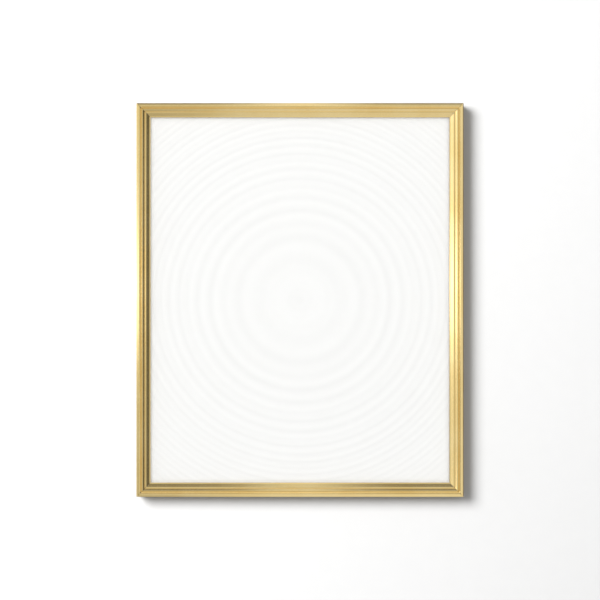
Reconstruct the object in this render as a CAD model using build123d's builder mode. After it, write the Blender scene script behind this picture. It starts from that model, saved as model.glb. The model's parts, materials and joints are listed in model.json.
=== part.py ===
from build123d import *

import os

# A sectional aluminium picture frame. Four mitred gold rails are drawn together by steel corner
# angles in their rear channels. They hold a glazed white board, pressed forward by spring clips,
# and the whole hangs from two D-rings on plates that slide in the side rails.
#
# Frame: +X right and +Z up as the frame hangs, the front faces -Y. The origin is the centre of
# the frame on the wall plane, where the backs of the bumpers lie. A rail's section is drawn with
# u running inward from its outer face and v running back from its front crest. All in mm.

# Sheet and its clearances
SHEET_WIDTH = 355.6
SHEET_HEIGHT = 431.8
LIP_COVER = 6.35
RABBET_CLEARANCE = 0.8
GLAZING_THICKNESS = 2.0
BOARD_THICKNESS = 1.6
BACKING_THICKNESS = 3.0
SPRING_GAP = 1.9

# Front of the rail section: widths along u, in order from the outer face
SHOULDER_WIDTH = 1.0
OUTER_RIB_WIDTH = 3.3
GROOVE_WIDTH = 0.9
MIDDLE_RIB_WIDTH = 2.8
STEP_WIDTH = 1.2
LEDGE_WIDTH = 0.4
REED_WIDTH = 2.4
COVE_WIDTH = 2.3
LAND_WIDTH = 1.575

# Depths of the same features below the front crest, along v
SHOULDER_START_DEPTH = 2.0
SHOULDER_DEPTH = 0.9
OUTER_RIB_FOOT_DEPTH = 0.5
GROOVE_DEPTH = 1.5
MIDDLE_RIB_CREST_DEPTH = 0.5
STEP_DEPTH = 3.7
REED_CREST_DEPTH = 3.15
REED_FOOT_DEPTH = 3.9
COVE_DEPTH = 6.1
SIGHT_EDGE_DEPTH = 6.3

# Walls of the rail section
OUTER_WALL = 1.4
FACE_WALL = 1.3
RABBET_WALL = 1.2
LIP_THICKNESS = 1.2
WEB_THICKNESS = 1.3
CHANNEL_WIDTH = 10.0
CHANNEL_DEPTH = 3.2
CHANNEL_INNER_WALL = 1.2
BACK_LIP_THICKNESS = 1.5
BACK_LIP_REACH = 1.6
MITRE_CLEARANCE = 0.05

# Corner angles, shims and set screws
ANGLE_LEG = 32.0
ANGLE_THICKNESS = 2.0
SHIM_LEG = 29.0
SHIM_THICKNESS = 0.8
CHANNEL_SIDE_PLAY = 0.2
CHANNEL_FACE_PLAY = 0.05
SCREW_RADIUS = 2.0
SCREW_HOLE_CLEARANCE = 0.05
SCREW_PROUD = 0.7
SCREW_CHAMFER = 0.25
SCREW_SOCKET_RADIUS = 1.15
SCREW_SOCKET_DEPTH = 1.6
CORNER_SCREW_FROM_CORNER = 24.0

# Spring clips
CLIP_LENGTH = 26.0
CLIP_WIDTH = 8.0
CLIP_THICKNESS = 0.4
CLIP_TAB_LENGTH = 3.5
CLIP_PAD_LENGTH = 7.0
CLIP_EDGE_GAP = 0.5
CLIP_FROM_CORNER = 95.0

# Hangers
HANGER_BELOW_TOP = 150.0
HANGER_PLATE_LENGTH = 40.0
HANGER_PLATE_THICKNESS = 1.2
HANGER_SCREW_SPACING = 28.0
KNUCKLE_LENGTH = 9.0
KNUCKLE_WALL = 0.7
NECK_WIDTH = 1.8
RING_WIRE_RADIUS = 0.9
RING_BORE_CLEARANCE = 0.05
RING_BAR_LENGTH = 17.0
RING_REACH = 13.0
RING_NOSE_LENGTH = 10.0
RING_BEND_RADIUS = 2.5
RING_RAIL_GAP = 0.3

# Bumpers
BUMPER_RADIUS = 6.0
BUMPER_THICKNESS = 3.0
BUMPER_ROUNDING = 0.7
BUMPER_FROM_CORNER = 48.0

# Places along u
outer_rib_start = SHOULDER_WIDTH
groove_start = outer_rib_start + OUTER_RIB_WIDTH
middle_rib_start = groove_start + GROOVE_WIDTH
step_start = middle_rib_start + MIDDLE_RIB_WIDTH
ledge_start = step_start + STEP_WIDTH
reed_start = ledge_start + LEDGE_WIDTH
cove_start = reed_start + REED_WIDTH
land_start = cove_start + COVE_WIDTH
face_width = land_start + LAND_WIDTH
sheet_edge = face_width - LIP_COVER
rabbet_face = sheet_edge - RABBET_CLEARANCE
channel_end = OUTER_WALL + CHANNEL_WIDTH
web_end = channel_end + CHANNEL_INNER_WALL
channel_centre = OUTER_WALL + CHANNEL_WIDTH / 2

# Places along v
lip_back = SIGHT_EDGE_DEPTH + LIP_THICKNESS
board_front = lip_back + GLAZING_THICKNESS
backing_front = board_front + BOARD_THICKNESS
backing_back = backing_front + BACKING_THICKNESS
web_front = backing_back + SPRING_GAP
web_back = web_front + WEB_THICKNESS
back_lip_front = web_back + CHANNEL_DEPTH
rail_depth = back_lip_front + BACK_LIP_THICKNESS
shim_front = web_back + CHANNEL_FACE_PLAY
shim_back = shim_front + SHIM_THICKNESS
angle_back = back_lip_front - CHANNEL_FACE_PLAY
angle_front = angle_back - ANGLE_THICKNESS
knuckle_centre = rail_depth + RING_RAIL_GAP + RING_WIRE_RADIUS

# Overall sizes
frame_width = SHEET_WIDTH + 2 * sheet_edge
frame_height = SHEET_HEIGHT + 2 * sheet_edge
hanger_height = frame_height / 2 - HANGER_BELOW_TOP
BACKWARD = (0, 1, 0)


def depth_to_y(depth):
    """Place on the frame's Y axis of a depth v behind the front crest."""
    return depth - rail_depth - BUMPER_THICKNESS


def facing_plane(depth, x=0, z=0):
    """Plane parallel to the wall at a depth v, with its normal towards the wall."""
    return Plane(origin=(x, depth_to_y(depth), z), x_dir=(-1, 0, 0), z_dir=BACKWARD)


class Side:
    """One side of the frame: its inward direction and the rail that runs along it."""

    def __init__(self, inward, outer_distance, length):
        self.inward = Vector(*inward)
        self.along = self.inward.cross(Vector(*BACKWARD))
        self.outer = self.inward * -outer_distance
        self.length = length

    def section_plane(self):
        """Plane across the rail at its middle, with u as its x and v as its y."""
        origin = self.outer + Vector(0, depth_to_y(0), 0)
        return Plane(origin=origin, x_dir=self.inward, z_dir=self.along)

    def mitre_plane(self, end):
        """Plane of the mitre at one end (+1 or -1), its normal pointing out of the rail."""
        normal = (self.along * end + self.inward).normalized()
        corner = self.outer + self.along * (end * self.length / 2)
        return Plane(origin=corner - normal * MITRE_CLEARANCE, z_dir=normal)

    def lengthwise_plane(self, place, u):
        """Plane facing inward at u, at a place along the rail, with v as its y."""
        origin = self.outer + self.along * place + self.inward * u + Vector(0, depth_to_y(0), 0)
        return Plane(origin=origin, x_dir=self.along * -1, z_dir=self.inward)


SIDES = {
    "top": Side((0, 0, -1), frame_height / 2, frame_width),
    "bottom": Side((0, 0, 1), frame_height / 2, frame_width),
    "left": Side((1, 0, 0), frame_width / 2, frame_height),
    "right": Side((-1, 0, 0), frame_width / 2, frame_height),
}
CORNERS = {
    "upper_left": (-1, 1),
    "upper_right": (1, 1),
    "lower_left": (-1, -1),
    "lower_right": (1, -1),
}


def corner_plane(corner, depth):
    """Plane at a depth v with its origin at an outer corner, both axes pointing inward."""
    x_sign, z_sign = corner
    origin = (x_sign * frame_width / 2, depth_to_y(depth), z_sign * frame_height / 2)
    return Plane(origin=origin, x_dir=(-x_sign, 0, 0), z_dir=(0, -x_sign * z_sign, 0))


def save(builder, name):
    """Label a finished piece and write it as the node of that name."""
    builder.part.label = name
    export_step(builder.part, f"parts/{name}.step")


os.makedirs("parts", exist_ok=True)

# Rails ------------------------------------------------------------------------------------

outer_rib_crest = outer_rib_start + OUTER_RIB_WIDTH * 0.6
middle_rib_crest = middle_rib_start + MIDDLE_RIB_WIDTH / 2
reed_crest = reed_start + REED_WIDTH / 2

with BuildSketch() as rail_section:
    with BuildLine():
        # Front contour, from the outer face to the sight edge
        shoulder = ThreePointArc(
            (0, SHOULDER_START_DEPTH),
            (SHOULDER_WIDTH * 0.3, SHOULDER_DEPTH + (SHOULDER_START_DEPTH - SHOULDER_DEPTH) * 0.3),
            (SHOULDER_WIDTH, SHOULDER_DEPTH),
        )
        rib_slope = Line(shoulder @ 1, (outer_rib_crest - SHOULDER_WIDTH, OUTER_RIB_FOOT_DEPTH / 2))
        outer_rib = ThreePointArc(rib_slope @ 1, (outer_rib_crest, 0), (groove_start, OUTER_RIB_FOOT_DEPTH))
        groove = Polyline(
            outer_rib @ 1,
            (groove_start + GROOVE_WIDTH / 2, GROOVE_DEPTH),
            (middle_rib_start, GROOVE_DEPTH),
        )
        middle_rib = ThreePointArc(
            groove @ 1, (middle_rib_crest, MIDDLE_RIB_CREST_DEPTH), (step_start, GROOVE_DEPTH)
        )
        step = Polyline(middle_rib @ 1, (ledge_start, STEP_DEPTH), (reed_start, STEP_DEPTH))
        reed = ThreePointArc(step @ 1, (reed_crest, REED_CREST_DEPTH), (cove_start, REED_FOOT_DEPTH))
        cove = ThreePointArc(
            reed @ 1,
            (cove_start + COVE_WIDTH * 0.45, REED_FOOT_DEPTH + (COVE_DEPTH - REED_FOOT_DEPTH) * 0.55),
            (land_start, COVE_DEPTH),
        )
        # Lip, rabbet, web and the channel that opens at the back
        Polyline(
            cove @ 1,
            (face_width, SIGHT_EDGE_DEPTH),
            (face_width, lip_back),
            (rabbet_face, lip_back),
            (rabbet_face, web_front),
            (web_end, web_front),
            (web_end, rail_depth),
            (channel_end - BACK_LIP_REACH, rail_depth),
            (channel_end - BACK_LIP_REACH, back_lip_front),
            (channel_end, back_lip_front),
            (channel_end, web_back),
            (OUTER_WALL, web_back),
            (OUTER_WALL, back_lip_front),
            (OUTER_WALL + BACK_LIP_REACH, back_lip_front),
            (OUTER_WALL + BACK_LIP_REACH, rail_depth),
            (0, rail_depth),
            shoulder @ 0,
        )
    make_face()
    # Closed cell between the outer wall and the rabbet wall
    with BuildLine():
        chamber_front = GROOVE_DEPTH + FACE_WALL
        chamber_end = rabbet_face - RABBET_WALL
        Polyline(
            (OUTER_WALL, chamber_front),
            (chamber_end, chamber_front),
            (chamber_end, web_front),
            (OUTER_WALL, web_front),
            close=True,
        )
    make_face(mode=Mode.SUBTRACT)

for name, side in SIDES.items():
    with BuildPart() as rail:
        with BuildSketch(side.section_plane()):
            add(rail_section.sketch_local)
        extrude(amount=side.length / 2, both=True)
        for end in (1, -1):
            split(bisect_by=side.mitre_plane(end), keep=Keep.BOTTOM)
    save(rail, f"{name}_rail")

# Corner hardware --------------------------------------------------------------------------

plate_start = OUTER_WALL + CHANNEL_SIDE_PLAY
plate_end = channel_end - CHANNEL_SIDE_PLAY
corner_screw_places = [
    (CORNER_SCREW_FROM_CORNER, channel_centre),
    (channel_centre, CORNER_SCREW_FROM_CORNER),
]
screw_hole_radius = SCREW_RADIUS + SCREW_HOLE_CLEARANCE


def l_outline(leg):
    """Corners of an L-shaped plate that fills both channels at a corner, out to a leg length."""
    return [
        (plate_start, plate_start),
        (leg, plate_start),
        (leg, plate_end),
        (plate_end, plate_end),
        (plate_end, leg),
        (plate_start, leg),
    ]


for name, corner in CORNERS.items():
    with BuildPart() as corner_angle:
        with BuildSketch(corner_plane(corner, angle_front)):
            with BuildLine():
                Polyline(*l_outline(ANGLE_LEG), close=True)
            make_face()
            with Locations(*corner_screw_places):
                Circle(screw_hole_radius, mode=Mode.SUBTRACT)
        extrude(amount=ANGLE_THICKNESS, dir=BACKWARD)
    save(corner_angle, f"corner_angle_{name}")

    with BuildPart() as corner_shim:
        with BuildSketch(corner_plane(corner, shim_front)):
            with BuildLine():
                Polyline(*l_outline(SHIM_LEG), close=True)
            make_face()
        extrude(amount=SHIM_THICKNESS, dir=BACKWARD)
    save(corner_shim, f"corner_shim_{name}")


def set_screw(plane, length):
    """Headless screw from its tip at the plane, with a hexagon socket in its far end."""
    with BuildPart() as screw:
        with BuildSketch(plane):
            Circle(SCREW_RADIUS)
        extrude(amount=length)
        chamfer(screw.faces().sort_by(Axis.Y)[-1].edges(), length=SCREW_CHAMFER)
        with BuildSketch(plane.offset(length)):
            RegularPolygon(SCREW_SOCKET_RADIUS, 6)
        extrude(amount=-SCREW_SOCKET_DEPTH, mode=Mode.SUBTRACT)
    return screw.part


corner_screw_length = angle_back + SCREW_PROUD - shim_back
for level, z_sign in (("upper", 1), ("lower", -1)):
    screws = []
    for x_sign in (-1, 1):
        for inward_x, inward_z in corner_screw_places:
            screw_x = x_sign * (frame_width / 2 - inward_x)
            screw_z = z_sign * (frame_height / 2 - inward_z)
            screws.append(set_screw(facing_plane(shim_back, screw_x, screw_z), corner_screw_length))
    with BuildPart() as corner_set_screws:
        add(screws)
    save(corner_set_screws, f"corner_set_screws_{level}")

# Glazing, board and backing -----------------------------------------------------------------

for name, front, thickness in (
    ("glazing", lip_back, GLAZING_THICKNESS),
    ("mount_board", board_front, BOARD_THICKNESS),
    ("backing_board", backing_front, BACKING_THICKNESS),
):
    with BuildPart() as sheet:
        with BuildSketch(facing_plane(front)):
            Rectangle(SHEET_WIDTH, SHEET_HEIGHT)
        extrude(amount=thickness)
    save(sheet, name)

# Spring clips -------------------------------------------------------------------------------

clip_start = rabbet_face + CLIP_EDGE_GAP
tab_front = web_front - CLIP_THICKNESS
clip_front_face = [
    (CLIP_LENGTH / 2, tab_front),
    (CLIP_LENGTH / 2 - CLIP_TAB_LENGTH, tab_front),
    (CLIP_PAD_LENGTH / 2, backing_back),
]
clip_front_face += [(-place, depth) for place, depth in reversed(clip_front_face)]
clip_back_face = [(place, depth + CLIP_THICKNESS) for place, depth in reversed(clip_front_face)]

with BuildPart() as spring_clips:
    for side in SIDES.values():
        for place in (-1, 1):
            clip_place = place * (side.length / 2 - CLIP_FROM_CORNER)
            with BuildSketch(side.lengthwise_plane(clip_place, clip_start)):
                with BuildLine():
                    Polyline(*clip_front_face, *clip_back_face, close=True)
                make_face()
            extrude(amount=CLIP_WIDTH)
save(spring_clips, "spring_clips")

# Hangers ------------------------------------------------------------------------------------

plate_front = angle_back - HANGER_PLATE_THICKNESS
hanger_screw_places = [(0, HANGER_SCREW_SPACING / 2), (0, -HANGER_SCREW_SPACING / 2)]
hanger_screw_length = angle_back + SCREW_PROUD - web_back
ring_bore_radius = RING_WIRE_RADIUS + RING_BORE_CLEARANCE
ring_outline = [
    (0, RING_BAR_LENGTH / 2),
    (RING_REACH, RING_NOSE_LENGTH / 2),
    (RING_REACH, -RING_NOSE_LENGTH / 2),
    (0, -RING_BAR_LENGTH / 2),
]

for name, x_sign in (("left", -1), ("right", 1)):
    hanger_x = x_sign * (frame_width / 2 - channel_centre)

    with BuildPart() as hanger_plate:
        with BuildSketch(facing_plane(plate_front, hanger_x, hanger_height)):
            Rectangle(plate_end - plate_start, HANGER_PLATE_LENGTH)
            with Locations(*hanger_screw_places):
                Circle(screw_hole_radius, mode=Mode.SUBTRACT)
        extrude(amount=HANGER_PLATE_THICKNESS)
        with BuildSketch(Plane.XY.offset(hanger_height - KNUCKLE_LENGTH / 2)):
            with Locations((hanger_x, depth_to_y((angle_back + knuckle_centre) / 2))):
                Rectangle(NECK_WIDTH, knuckle_centre - angle_back)
            with Locations((hanger_x, depth_to_y(knuckle_centre))):
                Circle(ring_bore_radius + KNUCKLE_WALL)
                Circle(ring_bore_radius, mode=Mode.SUBTRACT)
        extrude(amount=KNUCKLE_LENGTH)
    save(hanger_plate, f"hanger_plate_{name}")

    with BuildPart() as hanger_set_screws:
        add([
            set_screw(facing_plane(web_back, hanger_x, hanger_height + offset), hanger_screw_length)
            for _, offset in hanger_screw_places
        ])
    save(hanger_set_screws, f"hanger_set_screws_{name}")

    ring_plane = Plane(
        origin=(hanger_x, depth_to_y(knuckle_centre), hanger_height),
        x_dir=(-x_sign, 0, 0),
        z_dir=(0, x_sign, 0),
    )
    with BuildPart() as hanger_ring:
        with BuildLine(ring_plane) as ring_line:
            FilletPolyline(*ring_outline, radius=RING_BEND_RADIUS, close=True)
        ring_path = ring_line.wire()
        with BuildSketch(Plane(origin=ring_path @ 0, z_dir=ring_path % 0)):
            Circle(RING_WIRE_RADIUS)
        sweep(path=ring_path)
    save(hanger_ring, f"hanger_ring_{name}")

# Bumpers ------------------------------------------------------------------------------------

for name, (x_sign, z_sign) in CORNERS.items():
    bumper_x = x_sign * (frame_width / 2 - BUMPER_FROM_CORNER)
    bumper_z = z_sign * (frame_height / 2 - channel_centre)
    with BuildPart() as bumper:
        with BuildSketch(facing_plane(rail_depth, bumper_x, bumper_z)):
            Circle(BUMPER_RADIUS)
        extrude(amount=BUMPER_THICKNESS)
        fillet(bumper.faces().sort_by(Axis.Y)[-1].edges(), radius=BUMPER_ROUNDING)
    save(bumper, f"bumper_{name}")
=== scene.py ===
"""Looks of a slim, stepped gold metal frame with a glazed white board and its rear hardware."""

from __future__ import annotations

import json
import logging
import math
from dataclasses import dataclass
from enum import Enum
from typing import Any, Iterable, Sequence

import bmesh
import bpy
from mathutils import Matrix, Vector


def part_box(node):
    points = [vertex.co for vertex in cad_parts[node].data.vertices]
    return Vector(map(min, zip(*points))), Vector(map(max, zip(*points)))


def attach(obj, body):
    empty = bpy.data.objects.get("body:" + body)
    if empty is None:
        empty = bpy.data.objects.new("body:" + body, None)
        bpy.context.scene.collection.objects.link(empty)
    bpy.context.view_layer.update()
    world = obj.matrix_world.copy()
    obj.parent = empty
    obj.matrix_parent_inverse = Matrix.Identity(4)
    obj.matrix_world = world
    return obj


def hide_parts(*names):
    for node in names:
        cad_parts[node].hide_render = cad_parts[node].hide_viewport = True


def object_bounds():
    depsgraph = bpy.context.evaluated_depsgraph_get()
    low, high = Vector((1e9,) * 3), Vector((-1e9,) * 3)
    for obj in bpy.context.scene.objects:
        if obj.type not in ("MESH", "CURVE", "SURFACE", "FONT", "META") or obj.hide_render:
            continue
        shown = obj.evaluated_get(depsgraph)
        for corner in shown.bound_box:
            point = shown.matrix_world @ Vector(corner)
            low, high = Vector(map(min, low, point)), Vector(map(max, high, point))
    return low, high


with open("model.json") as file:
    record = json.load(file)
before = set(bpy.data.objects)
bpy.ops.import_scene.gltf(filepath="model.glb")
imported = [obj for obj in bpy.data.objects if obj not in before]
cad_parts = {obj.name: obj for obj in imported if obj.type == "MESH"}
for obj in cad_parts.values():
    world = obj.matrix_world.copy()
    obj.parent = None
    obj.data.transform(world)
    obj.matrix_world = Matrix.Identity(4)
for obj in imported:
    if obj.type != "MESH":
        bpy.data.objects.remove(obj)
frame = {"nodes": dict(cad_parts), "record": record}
CAD_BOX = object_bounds()
BODIES: dict[str, list[str]] = frame["record"]["behaviour"]["bodies"]
LOG = logging.getLogger("frame_looks")
MM = 0.001
Colour = tuple[float, float, float, float]
Point = tuple[float, float]
Corner = tuple[float, float, float]


class Grain(Enum):
    """Direction in which a finish's drawn lines run."""

    ACROSS = "x"
    UPRIGHT = "z"


# Shader helpers -----------------------------------------------------------------------------


class Signal:
    """A number on its way between shader nodes, which can be written in expressions."""

    def __init__(self, graph: "Graph", socket: bpy.types.NodeSocket) -> None:
        """Wrap a node's output.

        Args:
            graph: The graph that the output is in.
            socket: The output.
        """
        self.graph = graph
        self.socket = socket

    def _with(self, operation: str, first: Any, second: Any) -> "Signal":
        """Add a Math node.

        Args:
            operation: The node's operation.
            first: Its first value or signal.
            second: Its second value or signal.

        Returns:
            The node's result.
        """
        made = self.graph.node("ShaderNodeMath", {"operation": operation}, {0: first, 1: second})
        return Signal(self.graph, made.outputs[0])

    def __add__(self, other: Any) -> "Signal":
        """Sum of this and other."""
        return self._with("ADD", self, other)

    def __radd__(self, other: Any) -> "Signal":
        """Sum of other and this."""
        return self._with("ADD", other, self)

    def __sub__(self, other: Any) -> "Signal":
        """This less other."""
        return self._with("SUBTRACT", self, other)

    def __rsub__(self, other: Any) -> "Signal":
        """Other less this."""
        return self._with("SUBTRACT", other, self)

    def __mul__(self, other: Any) -> "Signal":
        """Product of this and other."""
        return self._with("MULTIPLY", self, other)

    def __rmul__(self, other: Any) -> "Signal":
        """Product of other and this."""
        return self._with("MULTIPLY", other, self)

    def bell(self, centre: float, spread: float) -> "Signal":
        """Smooth bump of height 1 at a centre.

        Args:
            centre: Where the bump peaks.
            spread: Distance at which it has fallen to about a third.

        Returns:
            The bump's value.
        """
        offset = (self - centre) * (1 / spread)
        return self._with("EXPONENT", 0 - offset * offset, 0.0)

    def ramp(self, start: float, end: float) -> "Signal":
        """Smooth rise from 0 at start to 1 at end."""
        made = self.graph.node(
            "ShaderNodeMapRange",
            {"interpolation_type": "SMOOTHSTEP"},
            {"Value": self, "From Min": start, "From Max": end},
        )
        return Signal(self.graph, made.outputs[0])


class Graph:
    """A node tree that is built from nothing."""

    def __init__(self, tree: bpy.types.NodeTree) -> None:
        """Empty a node tree and hold it."""
        self.tree = tree
        tree.nodes.clear()

    def node(
        self,
        kind: str,
        settings: dict[str, Any] | None = None,
        inputs: dict[Any, Any] | None = None,
    ) -> bpy.types.Node:
        """Add a node.

        Args:
            kind: The node's type.
            settings: Its properties, set before its sockets.
            inputs: Values, sockets or signals for its inputs, by name or number.

        Returns:
            The node.
        """
        made = self.tree.nodes.new(kind)
        for name, value in (settings or {}).items():
            setattr(made, name, value)
        for name, value in (inputs or {}).items():
            if isinstance(value, Signal):
                value = value.socket
            if isinstance(value, bpy.types.NodeSocket):
                self.tree.links.new(value, made.inputs[name])
            else:
                made.inputs[name].default_value = value
        return made

    def place(self, stretch: Sequence[float]) -> bpy.types.NodeSocket:
        """Object coordinates in metres, stretched along each axis."""
        coords = self.node("ShaderNodeTexCoord").outputs["Object"]
        settings = {"operation": "MULTIPLY"}
        return self.node("ShaderNodeVectorMath", settings, {0: coords, 1: stretch}).outputs[0]

    def noise(self, stretch: Sequence[float], detail: float = 4.0) -> Signal:
        """Noise with a number of features a metre along each axis.

        Args:
            stretch: Features a metre along X, Y and Z.
            detail: Levels of finer noise.

        Returns:
            The noise, from 0 to 1.
        """
        inputs = {"Vector": self.place(stretch), "Scale": 1.0, "Detail": detail}
        return Signal(self, self.node("ShaderNodeTexNoise", None, inputs).outputs[0])

    def cells(self, density: float) -> Signal:
        """Distance within irregular cells, with a number of cells a metre."""
        inputs = {"Vector": self.place((density,) * 3), "Scale": 1.0}
        return Signal(self, self.node("ShaderNodeTexVoronoi", None, inputs).outputs["Distance"])

    def blend(self, mask: Any, low: Any, high: Any) -> bpy.types.NodeSocket:
        """Colour between two colours by a mask."""
        settings = {"data_type": "RGBA"}
        return self.node("ShaderNodeMix", settings, {0: mask, 6: low, 7: high}).outputs[2]

    def bump(self, height: Signal, depth: float, strength: float) -> bpy.types.NodeSocket:
        """Normal of a relief.

        Args:
            height: The relief, from 0 to 1.
            depth: Its depth in metres.
            strength: How much of it shows.

        Returns:
            The normal.
        """
        inputs = {"Height": height, "Distance": depth, "Strength": strength}
        return self.node("ShaderNodeBump", None, inputs).outputs[0]

    def surface(self, inputs: dict[str, Any]) -> None:
        """End the graph in a Principled surface with these inputs."""
        shader = self.node("ShaderNodeBsdfPrincipled", None, inputs)
        self.node("ShaderNodeOutputMaterial", None, {"Surface": shader.outputs[0]})


class Finish:
    """What every finish shares: a name and one material, made when it is first asked for."""

    name: str

    def paint(self, graph: Graph) -> None:
        """Fill the material's graph; each finish has its own."""
        raise NotImplementedError

    def material(self) -> bpy.types.Material:
        """The finish's material."""
        found = bpy.data.materials.get(self.name)
        if found is None:
            found = bpy.data.materials.new(self.name)
            found.use_nodes = True
            self.paint(Graph(found.node_tree))
        return found


@dataclass(frozen=True)
class BrightGold(Finish):
    """Bright gold anodised aluminium with fine drawn lines along the rail."""

    grain: Grain
    pale: Colour = (0.93, 0.735, 0.36, 1)
    deep: Colour = (0.88, 0.665, 0.285, 1)
    roughness: float = 0.09

    @property
    def name(self) -> str:
        """Material name, one for each grain."""
        return f"bright_gold_{self.grain.value}"

    def paint(self, graph: Graph) -> None:
        """Drawn lines, faint clouding of the dye and small handling marks."""
        long, fine = 5.0, 2600.0
        lines = {
            Grain.ACROSS: (long, fine, fine),
            Grain.UPRIGHT: (fine, fine, long),
        }[self.grain]
        drawn = graph.noise(lines, 3.0)
        broad = graph.noise(tuple(value / 4 for value in lines), 2.0)
        cloud = graph.noise((26.0, 26.0, 26.0), 5.0)
        marks = graph.noise((330.0, 330.0, 330.0), 6.0).ramp(0.62, 0.78)
        tone = cloud * 0.75 + broad * 0.25
        graph.surface({
            "Base Color": graph.blend(tone.ramp(0.3, 0.7), self.deep, self.pale),
            "Metallic": 1.0,
            "Roughness": self.roughness + 0.04 * cloud + 0.02 * drawn + 0.05 * marks,
            "Normal": graph.bump(drawn * 0.7 + broad * 0.3, 0.002 * MM, 0.12),
        })


@dataclass(frozen=True)
class PlatedSteel(Finish):
    """Pressed steel with a plated or blackened skin."""

    name: str
    pale: Colour
    deep: Colour
    roughness: float
    density: float = 420.0

    def paint(self, graph: Graph) -> None:
        """Crystalline patches, rolling lines and light scuffs."""
        patches = graph.cells(self.density)
        rolled = graph.noise((90.0, 1800.0, 1800.0), 3.0)
        scuffs = graph.noise((700.0, 700.0, 700.0), 5.0).ramp(0.55, 0.75)
        tone = patches * 0.6 + rolled * 0.4
        graph.surface({
            "Base Color": graph.blend(tone.ramp(0.15, 0.75), self.deep, self.pale),
            "Metallic": 1.0,
            "Roughness": self.roughness + 0.14 * patches + 0.12 * scuffs,
            "Normal": graph.bump(tone, 0.02 * MM, 0.3),
        })


@dataclass(frozen=True)
class PictureGlass(Finish):
    """Clear picture glass, all but invisible, with faint wiping marks."""

    name: str = "picture_glass"
    tint: Colour = (0.93, 0.98, 0.96, 1)
    cover: float = 0.06

    def paint(self, graph: Graph) -> None:
        """Smooth glass whose gloss varies a little where it was wiped."""
        wiped = graph.noise((14.0, 14.0, 40.0), 4.0)
        pale = (0.97, 0.99, 0.98, 1)
        graph.surface({
            "Base Color": graph.blend(wiped, self.tint, pale),
            "Roughness": 0.02 + 0.04 * wiped,
            "IOR": 1.5,
            "Alpha": self.cover,
        })


@dataclass(frozen=True)
class CottonBoard(Finish):
    """White cotton board with a fine paper tooth."""

    name: str = "cotton_board"
    white: Colour = (0.96, 0.96, 0.957, 1)
    shade: Colour = (0.95, 0.95, 0.946, 1)

    def paint(self, graph: Graph) -> None:
        """Soft fibres over a very even white."""
        tooth = graph.noise((620.0, 620.0, 620.0), 2.0)
        fibres = graph.noise((140.0, 140.0, 260.0), 3.0)
        graph.surface({
            "Base Color": graph.blend(fibres.ramp(0.25, 0.75), self.shade, self.white),
            "Roughness": 0.85 + 0.1 * tooth,
        })


@dataclass(frozen=True)
class Hardboard(Finish):
    """Brown fibreboard with pressed fibres and flecks."""

    name: str = "hardboard"
    pale: Colour = (0.47, 0.325, 0.2, 1)
    deep: Colour = (0.28, 0.175, 0.095, 1)

    def paint(self, graph: Graph) -> None:
        """Matted fibres, a few dark flecks and slow changes of tone."""
        fibres = graph.noise((520.0, 520.0, 1300.0), 6.0)
        matted = graph.noise((1500.0, 1500.0, 420.0), 6.0)
        slow = graph.noise((9.0, 9.0, 9.0), 3.0)
        flecks = graph.noise((800.0, 800.0, 800.0), 2.0).ramp(0.68, 0.74)
        tone = fibres * 0.4 + matted * 0.4 + slow * 0.2
        body = graph.blend(tone.ramp(0.3, 0.7), self.deep, self.pale)
        dark = (0.12, 0.07, 0.04, 1)
        graph.surface({
            "Base Color": graph.blend(flecks * 0.7, body, dark),
            "Roughness": 0.62 + 0.2 * fibres,
            "Normal": graph.bump(fibres * 0.5 + matted * 0.5, 0.08 * MM, 0.5),
        })


@dataclass(frozen=True)
class BumperRubber(Finish):
    """Soft dark rubber with a matt moulded skin."""

    name: str = "bumper_rubber"
    pale: Colour = (0.075, 0.075, 0.078, 1)
    deep: Colour = (0.03, 0.03, 0.032, 1)

    def paint(self, graph: Graph) -> None:
        """Fine moulded grain with a little dust in it."""
        grain = graph.noise((2600.0, 2600.0, 2600.0), 4.0)
        dust = graph.noise((300.0, 300.0, 300.0), 5.0)
        graph.surface({
            "Base Color": graph.blend(dust.ramp(0.35, 0.75), self.deep, self.pale),
            "Roughness": 0.6 + 0.2 * dust,
            "Normal": graph.bump(grain, 0.05 * MM, 0.4),
        })


ZINC = PlatedSteel("zinc_plate", (0.74, 0.75, 0.77, 1), (0.54, 0.56, 0.6, 1), 0.26)
SPRING_STEEL = PlatedSteel("spring_steel", (0.5, 0.52, 0.56, 1), (0.3, 0.32, 0.37, 1), 0.24, 700.0)
BLACKED = PlatedSteel("blacked_steel", (0.16, 0.16, 0.165, 1), (0.06, 0.06, 0.065, 1), 0.38, 900.0)
NICKEL = PlatedSteel("nickel_wire", (0.86, 0.84, 0.79, 1), (0.7, 0.68, 0.63, 1), 0.12, 1100.0)


# Mesh helpers -------------------------------------------------------------------------------

STRAIGHT = math.radians(89.5)  # half angle above which a corner counts as straight
REACH_SHARE = 0.49  # most of a side that one rounding may take
WELD = 0.001 * MM
FLAT = math.radians(1)  # faces closer than this are one flat
BREAK_FROM = math.radians(40)  # edges sharper than this are broken
CREASE_FROM = math.radians(30)  # edges sharper than this stay crisp in a softened copy


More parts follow.
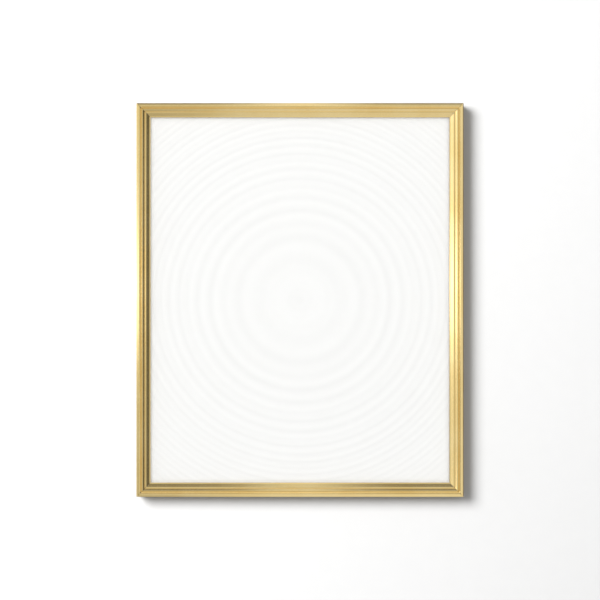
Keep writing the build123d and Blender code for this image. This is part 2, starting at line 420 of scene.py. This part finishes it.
def rounded(outline: Iterable[Corner], steps: int = 7) -> list[Point]:
    """Round the corners of a closed outline.

    Args:
        outline: Corners as (across, depth, corner radius).
        steps: Points on each rounded corner, less one.

    Returns:
        The points of the rounded outline.
    """
    corners = list(outline)
    points: list[Point] = []
    for index, (across, depth, radius) in enumerate(corners):
        here = Vector((across, depth))
        before = Vector(corners[index - 1][:2]) - here
        after = Vector(corners[(index + 1) % len(corners)][:2]) - here
        half = before.angle(after) / 2
        if radius <= 0 or half > STRAIGHT:
            points.append((across, depth))
            continue
        longest = min(before.length * REACH_SHARE, after.length * REACH_SHARE)
        reach = min(radius / math.tan(half), longest)
        radius = reach * math.tan(half)
        bisector = (before.normalized() + after.normalized()).normalized()
        centre = here + bisector * (radius / math.sin(half))
        first = here + before.normalized() * reach - centre
        turn = first.angle_signed(here + after.normalized() * reach - centre)
        for step in range(steps + 1):
            angle = -turn * step / steps
            spoke = Vector((
                first.x * math.cos(angle) - first.y * math.sin(angle),
                first.x * math.sin(angle) + first.y * math.cos(angle),
            ))
            points.append(tuple(centre + spoke))
    return points


def inset(points: Sequence[Point], amount: float) -> list[Point]:
    """Move each point of a closed outline into its solid side.

    Args:
        points: The outline, with its solid on the right of its travel.
        amount: How far each point moves.

    Returns:
        The moved points.
    """
    moved: list[Point] = []
    for index, point in enumerate(points):
        ahead = Vector(points[(index + 1) % len(points)])
        behind = Vector(points[index - 1])
        along = (ahead - behind).normalized()
        moved.append((point[0] - along.y * amount, point[1] + along.x * amount))
    return moved


def new_piece(
    name: str, mesh: bpy.types.Mesh, finish: Finish, body: str
) -> bpy.types.Object:
    """Add a mesh to the scene as a piece of the object.

    Args:
        name: The piece's name.
        mesh: Its mesh, in the row frame.
        finish: Its finish.
        body: The CAD body that it rides on.

    Returns:
        The piece.
    """
    piece = bpy.data.objects.new(name, mesh)
    bpy.context.scene.collection.objects.link(piece)
    mesh.materials.clear()
    mesh.materials.append(finish.material())
    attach(piece, body)
    LOG.info("piece %s rides on %s", name, body)
    return piece


def shade_smooth(mesh: bpy.types.Mesh, crease_from: float) -> None:
    """Shade a mesh smoothly, with crisp edges where its faces meet at more than an angle."""
    for face in mesh.polygons:
        face.use_smooth = True
    mesh.set_sharp_from_angle(angle=crease_from)


def dress(node: str, finish: Finish) -> None:
    """Give a CAD node a finish through its material slots."""
    owner = frame["nodes"][node]
    for slot in owner.material_slots:
        slot.material = finish.material()
    if not owner.material_slots:
        owner.data.materials.append(finish.material())
    LOG.info("node %s has %s", node, finish.name)


def soften(node: str, width: float, finish: Finish) -> bpy.types.Object:
    """Stand a copy of a CAD node in its place with its sharp edges broken.

    Args:
        node: The CAD node.
        width: Width of the broken edges in metres.
        finish: The finish.

    Returns:
        The new piece.
    """
    source = frame["nodes"][node]
    mesh = source.data.copy()
    mesh.name = f"{node}_soft"
    shape = bmesh.new()
    shape.from_mesh(mesh)
    bmesh.ops.remove_doubles(shape, verts=shape.verts, dist=WELD)
    bmesh.ops.dissolve_limit(
        shape, angle_limit=FLAT, verts=shape.verts, edges=shape.edges, delimit=set()
    )
    shape.to_mesh(mesh)
    shape.free()
    body = next(name for name, nodes in BODIES.items() if node in nodes)
    piece = new_piece(f"{node}_finished", mesh, finish, body)
    edge = piece.modifiers.new("broken_edges", "BEVEL")
    edge.width = width
    edge.segments = 2
    edge.limit_method = "ANGLE"
    edge.angle_limit = BREAK_FROM
    edge.use_clamp_overlap = True
    shade_smooth(mesh, CREASE_FROM)
    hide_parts(node)
    return piece


# Sub-assemblies -----------------------------------------------------------------------------


# Front of the section, from the outer face to the sight edge: (across, depth, corner radius) in mm
FACE_CORNERS: tuple[Corner, ...] = (
    (0.0, 1.9, 0.5),  # shoulder
    (0.75, 0.95, 0.5),
    (3.1, 0.0, 0.6),  # outer rib
    (4.1, 0.25, 0.4),
    (5.0, 1.3, 0.25),  # groove
    (5.5, 1.5, 0.2),
    (6.5, 0.45, 0.4),  # middle rib
    (7.3, 0.5, 0.4),
    (8.1, 1.35, 0.2),  # step
    (9.4, 2.75, 0.2),
    (9.8, 2.8, 0.15),
    (10.3, 2.5, 0.4),  # reed
    (11.3, 2.6, 0.5),
    (11.9, 3.2, 0.3),  # slope down to the sight edge
    (14.7, 6.05, 0.4),
)


@dataclass
class Moulding:
    """The four rails, drawn finely from one section. Section sizes are in millimetres.

    Across runs inward from a rail's outer face and depth runs back from its front crest.
    """

    wall: float = 1.4
    inner_wall: float = 1.2
    web: float = 1.3
    channel_width: float = 10.0
    back_lip: float = 1.5
    back_lip_reach: float = 1.6
    web_back: float = 17.3
    face_wall: float = 1.3
    groove_depth: float = 1.5
    sight_depth: float = 6.3
    rabbet_clearance: float = 0.8
    mitre_gap: float = 0.05
    mitre_break: float = 0.14
    edge_round: float = 0.25
    rabbet_round: float = 0.1
    channel_round: float = 0.2
    cell_round: float = 0.4
    crease_from: float = math.radians(24)

    def outline(self, width: float, depth: float, lip_back: float, rabbet: float) -> list[Point]:
        """Closed section of the rail's outside.

        Args:
            width: Width of the face.
            depth: Depth of the rail.
            lip_back: Depth of the lip's rear face, which the glazing lies on.
            rabbet: Place across of the rabbet wall.

        Returns:
            Points of the outline.
        """
        soft, tight = self.edge_round, self.rabbet_round
        channel_end = self.wall + self.channel_width
        web_end = channel_end + self.inner_wall
        web_front = self.web_back - self.web
        lip_front = depth - self.back_lip
        corners = [
            *FACE_CORNERS,
            (width, self.sight_depth, soft),
            (width, lip_back, soft),
            (rabbet, lip_back, tight),
            (rabbet, web_front, tight),
            (web_end, web_front, soft),
            (web_end, depth, soft),
            (channel_end - self.back_lip_reach, depth, soft),
            (channel_end - self.back_lip_reach, lip_front, soft),
            (channel_end, lip_front, tight),
            (channel_end, self.web_back, self.channel_round),
            (self.wall, self.web_back, self.channel_round),
            (self.wall, lip_front, tight),
            (self.wall + self.back_lip_reach, lip_front, soft),
            (self.wall + self.back_lip_reach, depth, soft),
            (0.0, depth, soft),
        ]
        return rounded(corners)

    def cell(self, rabbet: float) -> list[Point]:
        """Closed cell between the outer wall and the rabbet wall."""
        front = self.groove_depth + self.face_wall
        end = rabbet - self.inner_wall
        back = self.web_back - self.web
        corners = [(self.wall, front), (self.wall, back), (end, back), (end, front)]
        return rounded([(*corner, self.cell_round) for corner in corners], 3)

    def rail(self, name: str, inward: Vector, grain: Grain, body: str) -> None:
        """Build one rail and stand it for its CAD node.

        Args:
            name: The CAD node.
            inward: Direction from the rail to the middle of the frame.
            grain: Direction of its drawn lines.
            body: The body that it rides on.
        """
        low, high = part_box(name)
        left_low, left_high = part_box("left_rail")
        width = (left_high.x - left_low.x) / MM
        depth = (left_high.y - left_low.y) / MM
        glass_low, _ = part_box("glazing")
        lip_back = (glass_low.y - left_low.y) / MM
        rabbet = (glass_low.x - left_low.x) / MM - self.rabbet_clearance
        along = inward.cross(Vector((0, 1, 0)))
        outer = max(abs(low.dot(inward)), abs(high.dot(inward)))
        half = left_high.z if inward.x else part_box("top_rail")[1].x
        play = self.mitre_gap * math.sqrt(2) / 2

        def spot(point: Point, end: int, short: float) -> Vector:
            """Place of a section point at one mitred end."""
            across, back = point
            reach = half - (across + play + short) * MM
            place = inward * (across * MM - outer) + along * (end * reach)
            return place + Vector((0, low.y + back * MM, 0))

        shape = bmesh.new()
        full = self.outline(width, depth, lip_back, rabbet)
        small = inset(full, self.mitre_break)
        cell = self.cell(rabbet)
        rings = [
            [shape.verts.new(spot(point, end, short)) for point in points]
            for points, end, short in (
                (small, -1, 0.0),
                (full, -1, self.mitre_break),
                (full, 1, self.mitre_break),
                (small, 1, 0.0),
            )
        ]
        bores = [[shape.verts.new(spot(point, end, 0.0)) for point in cell] for end in (-1, 1)]
        for first, second in [*zip(rings, rings[1:]), (bores[0], bores[1])]:
            count = len(first)
            for index in range(count):
                after = (index + 1) % count
                shape.faces.new((first[index], first[after], second[after], second[index]))
        for ring, bore in ((rings[0], bores[0]), (rings[-1], bores[1])):
            edges = [
                shape.edges.get((loop[index - 1], loop[index]))
                for loop in (ring, bore)
                for index in range(len(loop))
            ]
            bmesh.ops.triangle_fill(shape, use_beauty=True, edges=edges)
        bmesh.ops.recalc_face_normals(shape, faces=shape.faces)
        mesh = bpy.data.meshes.new(f"{name}_moulding")
        shape.to_mesh(mesh)
        shape.free()
        shade_smooth(mesh, self.crease_from)
        piece = new_piece(f"{name}_moulding", mesh, BrightGold(grain), body)
        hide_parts(name)

    def build(self) -> None:
        """Build the four rails."""
        self.rail("top_rail", Vector((0, 0, -1)), Grain.ACROSS, "frame")
        self.rail("bottom_rail", Vector((0, 0, 1)), Grain.ACROSS, "loading_end")
        self.rail("left_rail", Vector((1, 0, 0)), Grain.UPRIGHT, "frame")
        self.rail("right_rail", Vector((-1, 0, 0)), Grain.UPRIGHT, "frame")


@dataclass
class SheetPack:
    """Glass, white board and backing board."""

    edge_break: float = 0.25 * MM

    def build(self) -> None:
        """Finish the three sheets, with the boards' cut edges softened."""
        dress("glazing", PictureGlass())
        frame["nodes"]["glazing"].visible_shadow = False
        soften("mount_board", self.edge_break, CottonBoard())
        soften("backing_board", self.edge_break, Hardboard())


@dataclass
class Hardware:
    """Corner angles, shims, screws, clips, hangers and bumpers."""

    plate_break: float = 0.18 * MM
    thin_break: float = 0.06 * MM

    def build(self) -> None:
        """Finish each piece of hardware."""
        for node in sorted(frame["nodes"]):
            if node.startswith(("corner_angle", "hanger_plate")):
                soften(node, self.plate_break, ZINC)
            elif node.startswith("corner_shim"):
                soften(node, self.thin_break, SPRING_STEEL)
            elif node == "spring_clips":
                soften(node, self.thin_break, SPRING_STEEL)
            elif node.startswith(("corner_set", "hanger_set")):
                dress(node, BLACKED)
            elif node.startswith("hanger_ring"):
                dress(node, NICKEL)
            elif node.startswith("bumper"):
                dress(node, BumperRubber())


# Stage --------------------------------------------------------------------------------------

SQUARE = ((-1, -1), (1, -1), (1, 1), (-1, 1))


@dataclass
class Studio:
    """Wall, floor, light and camera."""

    wall_size: float = 24.0
    floor_drop: float = 1.2
    focus_depth: float = 1.5 * MM
    view_height: float = 0.68675
    lens: float = 100.0
    sensor: float = 36.0
    shadow_slant: tuple[float, float, float] = (-14.0, -22.0, 8.2)
    shadow_distance: float = 3.0
    shadow_lamp_size: float = 1.6
    shadow_lamp_power: float = 300.0
    fill_size: float = 2.4
    fill_power: float = 30.0
    fill_place: tuple[float, float, float] = (-0.6, -2.6, 0.7)
    sky: float = 0.98

    def sheet(self, name: str, corners: Sequence[Sequence[float]]) -> bpy.types.Object:
        """Add one large flat face to the stage."""
        mesh = bpy.data.meshes.new(name)
        mesh.from_pydata([tuple(corner) for corner in corners], [], [(0, 1, 2, 3)])
        made = bpy.data.objects.new(name, mesh)
        bpy.context.scene.collection.objects.link(made)
        return made

    def paint(self, made: bpy.types.Object, name: str) -> Graph:
        """Give a stage sheet a new material, and return its empty graph."""
        paint = bpy.data.materials.new(name)
        paint.use_nodes = True
        made.data.materials.append(paint)
        return Graph(paint.node_tree)

    def wall(self) -> bpy.types.Object:
        """Pale wall behind the frame, which is clear from behind."""
        half = self.wall_size / 2
        back = CAD_BOX[1].y
        corners = [(x * half, back, z * half) for x, z in SQUARE]
        made = self.sheet("wall", corners)
        graph = self.paint(made, "wall_paint")
        plaster = graph.noise((60.0, 60.0, 60.0), 3.0)
        colour = graph.blend(plaster, (0.3, 0.3, 0.3, 1), (0.31, 0.31, 0.31, 1))
        lit = graph.node("ShaderNodeBsdfDiffuse", None, {"Color": colour})
        clear = graph.node("ShaderNodeBsdfTransparent")
        behind = graph.node("ShaderNodeNewGeometry").outputs["Backfacing"]
        mixed = graph.node(
            "ShaderNodeMixShader", None, {0: behind, 1: lit.outputs[0], 2: clear.outputs[0]}
        )
        graph.node("ShaderNodeOutputMaterial", None, {"Surface": mixed.outputs[0]})
        made.visible_diffuse = False
        made.visible_glossy = False
        made.visible_shadow = False
        return made

    def floor(self) -> None:
        """Pale floor, well below the frame."""
        half = self.wall_size / 2
        drop = -self.floor_drop
        corners = [(x * half, y * half, drop) for x, y in SQUARE]
        made = self.sheet("floor", corners)
        graph = self.paint(made, "floor_paint")
        cloud = graph.noise((4.0, 4.0, 4.0), 3.0)
        colour = graph.blend(cloud, (0.8, 0.8, 0.79, 1), (0.83, 0.83, 0.82, 1))
        graph.surface({"Base Color": colour, "Roughness": 0.7})
        made.visible_diffuse = False
        made.visible_glossy = False

    def lamp(self, name: str, size: float, power: float, place: Vector) -> bpy.types.Object:
        """Add an area lamp that faces the frame, and isn't seen or mirrored.

        Args:
            name: The lamp's name.
            size: Its width in metres.
            power: Its power in watts.
            place: Where it stands.

        Returns:
            The lamp.
        """
        light = bpy.data.lights.new(name, "AREA")
        light.size = size
        light.energy = power
        made = bpy.data.objects.new(name, light)
        bpy.context.scene.collection.objects.link(made)
        made.location = place
        made.rotation_euler = place.to_track_quat("Z", "Y").to_euler()
        made.visible_camera = False
        made.visible_glossy = False
        return made

    def shadow_lamp(self, wall: bpy.types.Object) -> None:
        """Lamp that lights only the wall, from the upper left, so that the frame shades it."""
        place = Vector(self.shadow_slant).normalized() * self.shadow_distance
        made = self.lamp("wall_lamp", self.shadow_lamp_size, self.shadow_lamp_power, place)
        made.data.shape = "DISK"
        lit = bpy.data.collections.new("lit_by_wall_lamp")
        lit.objects.link(wall)
        made.light_linking.receiver_collection = lit

    def fill_lamp(self) -> None:
        """Wide soft lamp in front, which the metal doesn't mirror."""
        self.lamp("fill_lamp", self.fill_size, self.fill_power, Vector(self.fill_place))

    def surroundings(self) -> None:
        """Soft studio that the metal reflects: bright on the left, dim overhead."""
        world = bpy.data.worlds.new("studio")
        bpy.context.scene.world = world
        world.use_nodes = True
        graph = Graph(world.node_tree)
        way = graph.node("ShaderNodeTexCoord").outputs["Generated"]
        split = graph.node("ShaderNodeSeparateXYZ", None, {0: way})
        right, back, up = (Signal(graph, output) for output in split.outputs)
        left, front, down = 0 - right, 0 - back, 0 - up
        leftward = left.ramp(0.2, 0.5)
        horizon = 2.2 * up.bell(0.008, 0.024) + 0.3 * up.ramp(-0.03, 0.09) - 0.12
        dim_front = 0.33 * front.ramp(0.85, 0.98)
        left_window = 0.35 * left.ramp(0.8, 0.97)
        right_shade = 0.82 * right.ramp(0.72, 0.92)
        dim_ceiling = 0.7 * up.ramp(0.66, 0.85)
        dim_ground = 0.2 * down.ramp(0.6, 0.9)
        high_strip = 0.7 * right.bell(0.0, 0.026) * up.ramp(0.3, 0.5)
        low_left = 0.3 * left.ramp(0.02, 0.09) * down.ramp(0.3, 0.5)
        level = self.sky - dim_front - 0.3 * leftward + left_window + leftward * horizon
        level = level - right_shade - dim_ceiling - dim_ground + high_strip - low_left
        studio_light = {"Color": (1.0, 0.995, 0.985, 1), "Strength": level}
        warm = graph.node("ShaderNodeBackground", None, studio_light)
        backdrop = {"Color": (1, 1, 1, 1), "Strength": 1.0}
        white = graph.node("ShaderNodeBackground", None, backdrop)
        seen = graph.node("ShaderNodeLightPath").outputs["Is Camera Ray"]
        mixed = graph.node(
            "ShaderNodeMixShader", None, {0: seen, 1: warm.outputs[0], 2: white.outputs[0]}
        )
        graph.node("ShaderNodeOutputWorld", None, {"Surface": mixed.outputs[0]})

    def camera(self) -> None:
        """Camera square to the frame's front."""
        data = bpy.data.cameras.new("camera")
        data.lens = self.lens
        data.sensor_width = self.sensor
        camera = bpy.data.objects.new("camera", data)
        bpy.context.scene.collection.objects.link(camera)
        in_focus = CAD_BOX[0].y + self.focus_depth
        camera.location = (0, in_focus - self.view_height * self.lens / self.sensor, 0)
        camera.rotation_euler = (math.radians(90), 0, 0)
        bpy.context.scene.camera = camera

    def build(self) -> None:
        """Set the stage."""
        bpy.context.scene.view_settings.view_transform = "Standard"
        self.shadow_lamp(self.wall())
        self.floor()
        self.fill_lamp()
        self.surroundings()
        self.camera()


def main() -> None:
    """Build every sub-assembly in order."""
    logging.basicConfig(level=logging.INFO, format="%(message)s")
    for assembly in (Moulding(), SheetPack(), Hardware(), Studio()):
        assembly.build()
        LOG.info("built %s", type(assembly).__name__)


if __name__ == "__main__":
    main()
